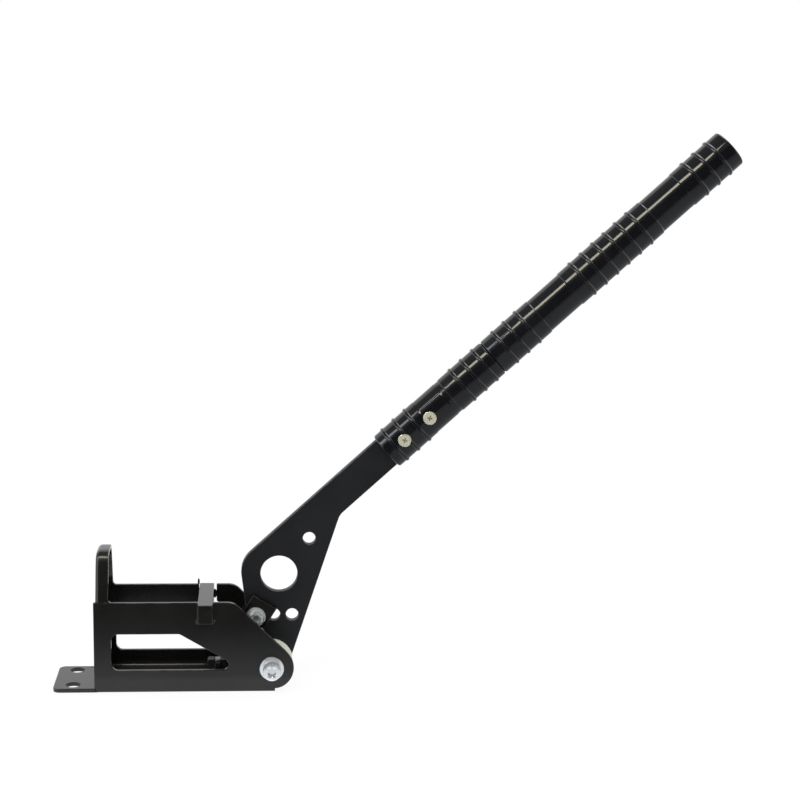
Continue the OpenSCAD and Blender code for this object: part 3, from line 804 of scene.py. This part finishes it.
def handle_shells():
    """Sleeve and grip as turned shells with rounded ends, rings and room for the screws."""
    base = sleeve_low
    sleeve = turned("handle_sleeve_shell", [
        *round_end(GRIP_R, base, -1),
        *step_to(GRIP_R, STEP_R, base + SLEEVE_LOW_END),
        *step_to(STEP_R, SMOOTH_R, base + SLEEVE_SMOOTH_END),
        *step_to(SMOOTH_R, GRIP_R, base + SLEEVE_NECK_END),
        *round_end(GRIP_R, sleeve_high, 1),
    ])
    grip = turned("handle_grip_shell", [
        *round_end(GRIP_R, grip_low, -1),
        *step_to(GRIP_R, SMOOTH_R, GRIP_LOW_END),
        *step_to(SMOOTH_R, GRIP_R, GRIP_MIDDLE),
        *step_to(GRIP_R, SMOOTH_R, GRIP_UPPER_SMOOTH),
        *step_to(SMOOTH_R, GRIP_R, GRIP_LAST),
        *round_end(GRIP_R, grip_high, 1),
    ])
    sleeve_rings = handle_rings("sleeve_rings", [
        (base + SLEEVE_LOW_RING, SHORT_RINGS),
        (base + SLEEVE_HIGH_RING, SHORT_RINGS),
    ])
    grip_rings = handle_rings("grip_rings", [
        (GRIP_LOW_RING, SHORT_RINGS),
        (GRIP_MIDDLE_RING, MIDDLE_RINGS),
        (GRIP_LAST_RING, SHORT_RINGS),
    ])
    cutter = screw_cutter()
    sleeve = cut(sleeve, cutter)
    sleeve_rings = cut(sleeve_rings, cutter)
    bpy.data.objects.remove(cutter)
    for piece in (sleeve, sleeve_rings, grip, grip_rings):
        piece.data.transform(handle_matrix)
    fit_for(sleeve, "handle_sleeve")
    fit_for(grip, "handle_grip")
    fit(sleeve_rings, "lever", "handle_shell")
    fit(grip_rings, "lever", "handle_shell")


def cross_screw():
    """Countersunk screw with a cross recess, drawn along Z as it sits in the handle."""
    top = GRIP_R - SCREW_SINK
    head = turned("screw_pattern", [
        (SCREW_R, top - SCREW_LENGTH),
        (SCREW_R, top - SCREW_CONE),
        (SCREW_HEAD_R, top - SCREW_RIM),
        (SCREW_HEAD_R - SCREW_EDGE_IN, top - SCREW_EDGE_DOWN),
        (SCREW_HEAD_R - SCREW_TOP_ROUND, top),
    ], SCREW_SEGMENTS)
    shape = bmesh.new()
    for turn in (0, math.pi / 2):
        blade = bmesh.ops.create_cube(shape, size=1)["verts"]
        size = Matrix.Diagonal((2 * CROSS_ARM, 2 * CROSS_SLOT, 2 * CROSS_DEPTH, 1))
        bmesh.ops.transform(shape, matrix=Matrix.Rotation(turn, 4, "Z") @ size, verts=blade)
    recess = new_piece("cross_pattern", shape)
    recess.data.transform(Matrix.Translation((0, 0, top)) @ Matrix.Rotation(CROSS_TURN, 4, "Z"))
    screw = cut(head, recess, crossing=True)
    bpy.data.objects.remove(recess)
    return screw


def handle_screws():
    """Both screws in the sleeve, in the place of their CAD node."""
    pattern = cross_screw()
    values = {
        "Piece": pattern,
        "Count": SCREW_COUNT,
        "Start": (0, 0, 0),
        "Pitch": (0, SCREW_GAP, 0),
        "Finish": finishes["screw_zinc"],
    }
    screws = grown("handle_cross_screws", ROW_TREE, ROW_SOCKETS, values)
    bpy.data.objects.remove(pattern)
    screws.data.transform(handle_matrix @ screw_matrix())
    fit_for(screws, "handle_screws")


def socket_cap(node, washer, centre, head_r, socket, shank_r):
    """Socket cap bolt across the base: its head stands on the near washer, its shank reaches the far end."""
    low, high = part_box(node)
    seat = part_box(washer)[0].y
    tall = seat - low.y
    tip = seat - high.y
    bolt = turned(node + "_cap", [
        (shank_r - CHAMFER, tip),
        (shank_r, tip + CHAMFER),
        (shank_r, 0),
        (head_r - CHAMFER / 2, 0),
        (head_r, CHAMFER / 2),
        (head_r, tall - CHAMFER),
        (head_r - CHAMFER * HEAD_SOFT, tall - CHAMFER * HEAD_SOFT),
        (head_r - CHAMFER, tall),
        (socket / 2 + SOCKET_LIP, tall),
        (hexagon(socket), tall - SOCKET_BEVEL),
        (hexagon(socket), tall - socket * SOCKET_DEPTH),
    ])
    bolt.data.transform(along((0, -1, 0), (centre.x, seat, centre.z)))
    fit_for(bolt, node)


def hex_nut(node, axis, flats, bore_r, turn):
    """Chamfered hexagon nut in the place of a CAD nut."""
    low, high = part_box(node)
    middle = (low + high) / 2
    half = (high - low).dot(Vector(axis)) / 2
    nut = turned(node + "_chamfered", [
        (bore_r + CHAMFER, -half),
        *hex_side(flats, -half, half),
        (bore_r + CHAMFER, half),
        (bore_r, half - CHAMFER),
        (bore_r, CHAMFER - half),
    ], closed=True)
    nut.data.transform(along(axis, middle) @ Matrix.Rotation(math.radians(turn), 4, "Z"))
    fit_for(nut, node)


def spacer_disc(node, way):
    """Turned spacer: a wide disc beside the lever, and a neck out to the side plate."""
    low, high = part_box(node)
    middle = (low + high) / 2
    length = high.y - low.y
    radius = (high.x - low.x) / 2 + SPACER_RIM
    disc = turned(node + "_turned", [
        (SPACER_BORE_R, 0),
        *round_end(radius, 0, -1, SPACER_ROUND),
        *round_end(radius, SPACER_T, 1, SPACER_ROUND),
        (SPACER_NECK_R, SPACER_T),
        (SPACER_NECK_R, length),
        (SPACER_BORE_R, length),
    ], closed=True)
    disc.data.transform(along((0, way, 0), (middle.x, middle.y - way * length / 2, middle.z)))
    fit_for(disc, node)


def quarter_arc(centre, radius):
    """Quarter of a circle from its outer side down to its foot, as (half width, height)."""
    angles = [math.pi / 2 * step / BEND_STEPS for step in range(BEND_STEPS + 1)]
    return [(centre[0] + radius * math.cos(a), centre[1] - radius * math.sin(a)) for a in angles]


def bend_strip(name, side, section, reach):
    """A strip along a bend of the base, from its closed section in half width and height."""
    shape = bmesh.new()
    ends = [[shape.verts.new((x, side * y, z)) for y, z in section] for x in reach]
    for step in range(len(section)):
        after = (step + 1) % len(section)
        shape.faces.new((ends[0][step], ends[0][after], ends[1][after], ends[1][step]))
    for end in ends:
        shape.faces.new(end)
    bmesh.ops.recalc_face_normals(shape, faces=shape.faces)
    fit(new_piece(name, shape), "base", "base_steel")


def bend_cove(name, side):
    """Inside of the bend where the floor of the base turns up into a side plate."""
    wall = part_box("base_channel")[1].y - SHEET_T
    cove = quarter_arc((wall - COVE_R, SHEET_T + COVE_R), COVE_R)
    bend_strip(name, side, [*cove, (wall + BEND_SINK, SHEET_T - BEND_SINK)], COVE_REACH)


def bend_corner(name, side):
    """Outside of the same bend, filled out to the tight corner that the plate has along the floor."""
    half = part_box("base_channel")[1].y
    corner = quarter_arc((half - CORNER_R, CORNER_R), CORNER_R)
    seat = quarter_arc((half - BEND_R, BEND_R), BEND_R - BEND_SINK)
    bend_strip(name, side, [(half, BEND_R), *corner, (half - BEND_R, 0), *reversed(seat)], CORNER_REACH)


def bead(name, centre, radii):
    """Small bead of weld on the base."""
    shape = bmesh.new()
    bmesh.ops.create_uvsphere(shape, u_segments=24, v_segments=14, radius=1)
    piece = new_piece(name, shape)
    size = Matrix.Diagonal((*(Vector(radii) * MM), 1))
    piece.data.transform(Matrix.Translation(Vector(centre) * MM) @ size)
    fit(piece, "base", "base_steel")


def rest_screw():
    """Hexagon screw of the rest stop, with its thread."""
    low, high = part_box("rest_stop_screw")
    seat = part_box("rest_stop_bracket")[0].x
    middle = (low + high) / 2
    head = seat - low.x
    tip = high.x - seat
    screw = turned("rest_stop_screw_shank", [
        *hex_side(REST_FLATS, -head, 0),
        (REST_R - THREAD_DEPTH / 2, 0),
        (REST_R - THREAD_DEPTH / 2, tip - CHAMFER),
        (REST_R - REST_TIP, tip),
    ])
    place = along((1, 0, 0), (seat, middle.y, middle.z))
    values = {
        "Radius": REST_R - THREAD_DEPTH,
        "Depth": THREAD_DEPTH,
        "Length": tip - 2 * CHAMFER,
        "Turns": (tip - 2 * CHAMFER) / THREAD_PITCH,
        "Finish": finishes[slot_of["rest_stop_screw"]],
    }
    thread = grown("rest_stop_thread", THREAD_TREE, THREAD_SOCKETS, values)
    for piece in (screw, thread):
        piece.data.transform(place)
    fit_for(screw, "rest_stop_screw")
    fit(thread, "base", slot_of["rest_stop_screw"])


def studio():
    """Pale floor, white surroundings, and the dark side of the room behind the camera."""
    scene = bpy.context.scene
    scene.view_settings.view_transform = "Standard"
    scene.world = bpy.data.worlds.new("studio")
    scene.world.use_nodes = True
    sky = Finish(scene.world.node_tree)
    seen = white_rays(sky)
    ambient = sky.node("ShaderNodeBackground", {}, {"Color": SKY_TINT, "Strength": SKY_STRENGTH})
    white = sky.node("ShaderNodeBackground", {}, {"Color": WHITE, "Strength": 1.0})
    shader = sky.node("ShaderNodeMixShader", {}, {0: seen, 1: ambient, 2: white})
    sky.node("ShaderNodeOutputWorld", {}, {"Surface": shader})

    floor = panel("floor", (-FLOOR_REACH, -FLOOR_REACH), (FLOOR_REACH, FLOOR_REACH), Matrix.Identity(4))
    material, paint = new_finish("pale_floor")
    grain = paint.noise(paint.place(), 3.0)
    tone = paint.mix(grain, (0.90, 0.90, 0.90, 1), (0.93, 0.93, 0.93, 1))
    matt = paint.node("ShaderNodeBsdfDiffuse", {}, {"Color": tone})
    bright = paint.node("ShaderNodeEmission", {}, {"Color": WHITE, "Strength": 1.0})
    away = paint.node("ShaderNodeVectorMath", {"operation": "LENGTH"}, {0: paint.place()}, output="Value")
    share = white_rays(paint) * (paint.band(away, 0.35, 1.1) * 0.1 + 0.9)
    shader = paint.node("ShaderNodeMixShader", {}, {0: share, 1: matt, 2: bright})
    paint.node("ShaderNodeOutputMaterial", {}, {"Surface": shader})
    floor.data.materials.append(material)
    dark_side()


def white_rays(finish):
    """1 for the rays that see the background: from the camera, off gloss and through glass."""
    rays = [finish.node("ShaderNodeLightPath", output=name)
            for name in ("Is Camera Ray", "Is Glossy Ray", "Is Transmission Ray")]
    total = rays[0] + rays[1] + rays[2]
    return finish.node("ShaderNodeClamp", {}, {"Value": total})


def panel(name, low, high, matrix):
    """A flat rectangle of the stage."""
    shape = bmesh.new()
    corners = ((low[0], low[1]), (high[0], low[1]), (high[0], high[1]), (low[0], high[1]))
    shape.faces.new([shape.verts.new((x, y, 0)) for x, y in corners])
    piece = new_piece(name, shape)
    piece.data.transform(matrix)
    return piece


def dark_side():
    """Cards for the unlit room round the camera, its ceiling, and the table before the object."""
    upright = Matrix.Translation((0, CARD_BACK, 0)) @ Matrix.Rotation(math.radians(90), 4, "X")
    on_floor = Matrix.Translation((0, 0, CARD_LIFT))
    overhead = Matrix.Translation((0, 0, CARD_TOP))
    card("room_card", (-3, 0), (3, CARD_TOP), upright, 0.05)
    card("front_card", (-3, CARD_BACK), (CARD_JOINT, -0.05), on_floor, 0.09, 0.75, (-0.19, -0.05))
    card("table_card", (CARD_JOINT, CARD_BACK), (3, 0.9), on_floor, 0.05, 0.50, (-2.5, -0.3))
    card("ceiling_card", (-4, CARD_BACK), (4, 1.3), overhead, 0.30)


def card(name, low, high, matrix, dim, bright=0.0, fade=None):
    """A glowing card, dim all over, or brighter towards the object where it fades along Y."""
    material, paint = new_finish(name)
    shader = paint.node("ShaderNodeEmission", {}, {"Color": CARD_TINT, "Strength": dim})
    if fade:
        place = paint.node("ShaderNodeSeparateXYZ", {}, {0: paint.place()}, output="Y")
        lit = paint.node("ShaderNodeEmission", {}, {"Color": CARD_TINT, "Strength": bright})
        share = paint.band(place, fade[0], fade[1])
        shader = paint.node("ShaderNodeMixShader", {}, {0: share, 1: shader, 2: lit})
    paint.node("ShaderNodeOutputMaterial", {}, {"Surface": shader})
    piece = panel(name, low, high, matrix)
    piece.data.materials.append(material)
    piece.visible_camera = False
    piece.visible_diffuse = False
    piece.visible_shadow = False
    piece.visible_transmission = False


def lamp(name, place, aim, size, power, colour, run=(1, 0, 0)):
    """A soft rectangular lamp that points at a place, its long side along run."""
    data = bpy.data.lights.new(name, "AREA")
    data.shape = "RECTANGLE"
    data.size = size[0]
    data.size_y = size[1]
    data.energy = power
    data.color = colour
    light = bpy.data.objects.new(name, data)
    light.location = place
    back = (Vector(place) - Vector(aim)).normalized()
    side = Vector(run) - Vector(run).dot(back) * back
    side.normalize()
    light.rotation_euler = Matrix((side, back.cross(side), back)).transposed().to_euler()
    bpy.context.scene.collection.objects.link(light)


def lamps():
    """Two softboxes, and two strips that run with the handle and lie along it as highlights."""
    middle = (0.05, 0.0, 0.16)
    with_handle = (0.83, -0.42, 0.37)
    lamp(
        "top_softbox",
        place=(0.60, 0.40, 1.6),
        aim=middle,
        size=(1.0, 1.0),
        power=10,
        colour=(1.0, 0.99, 0.96),
    )
    lamp(
        "strip_light",
        place=(-0.458, -0.816, 1.336),
        aim=(0.2, 0.0, 0.28),
        size=(0.82, 0.28),
        power=7.2,
        colour=(1.0, 0.94, 0.76),
        run=with_handle,
    )
    lamp(
        "cold_strip",
        place=(-1.27, -0.405, 0.975),
        aim=(0.1, 0.0, 0.2),
        size=(1.0, 0.34),
        power=5.5,
        colour=(0.80, 0.88, 1.0),
        run=with_handle,
    )
    lamp(
        "left_softbox",
        place=(-1.6, -0.7, 0.7),
        aim=middle,
        size=(0.9, 1.1),
        power=3,
        colour=(0.96, 0.98, 1.0),
        run=(0, 1, 0),
    )


def camera():
    """The camera at the photograph's place, with its tilt, turn and shift."""
    data = bpy.data.cameras.new("photo_camera")
    data.lens = CAMERA_LENS
    data.sensor_width = CAMERA_SENSOR
    data.shift_x = CAMERA_SHIFT
    data.clip_end = CAMERA_REACH
    eye = bpy.data.objects.new("photo_camera", data)
    eye.location = CAMERA_PLACE
    level = Euler((math.radians(90 - CAMERA_PITCH), 0, math.radians(-CAMERA_YAW))).to_matrix()
    eye.rotation_euler = (level @ Matrix.Rotation(math.radians(CAMERA_ROLL), 3, "Z")).to_euler()
    bpy.context.scene.collection.objects.link(eye)
    bpy.context.scene.camera = eye


camera()
studio()
lamps()

for node, thing in nodes.items():
    thing.data.materials.clear()
    thing.data.materials.append(finishes[slot_of[node]])
for node, width in EDGE_BREAKS.items():
    dressed(node, width * MM)
dressed("end_hoop", HOOP_BREAK, pressed_arch, ARCH_SHADE_ANGLE)
handle_shells()
handle_screws()
socket_cap("pivot_bolt", "pivot_near_washer", joint_at["lever_pivot"], PIVOT_HEAD_R, PIVOT_SOCKET, PIVOT_R)
socket_cap("yoke_bolt", "yoke_near_washer", joint_at["yoke_pivot"], YOKE_HEAD_R, YOKE_SOCKET, YOKE_R)
hex_nut("pivot_nut", (0, 1, 0), PIVOT_NUT_FLATS, PIVOT_R, PIVOT_NUT_TURN)
hex_nut("yoke_nut", (0, 1, 0), YOKE_NUT_FLATS, YOKE_R, YOKE_NUT_TURN)
hex_nut("rest_stop_nut", (1, 0, 0), REST_FLATS, REST_R, REST_NUT_TURN)
rest_screw()
spacer_disc("near_spacer", -1)
spacer_disc("far_spacer", 1)
for word, side in (("near", -1), ("far", 1)):
    bend_cove(word + "_bend_cove", side)
    bend_corner(word + "_bend_corner", side)
bead("bar_tack", TACK_CENTRE, TACK_RADII)
bead("bar_stub", STUB_CENTRE, STUB_RADII)
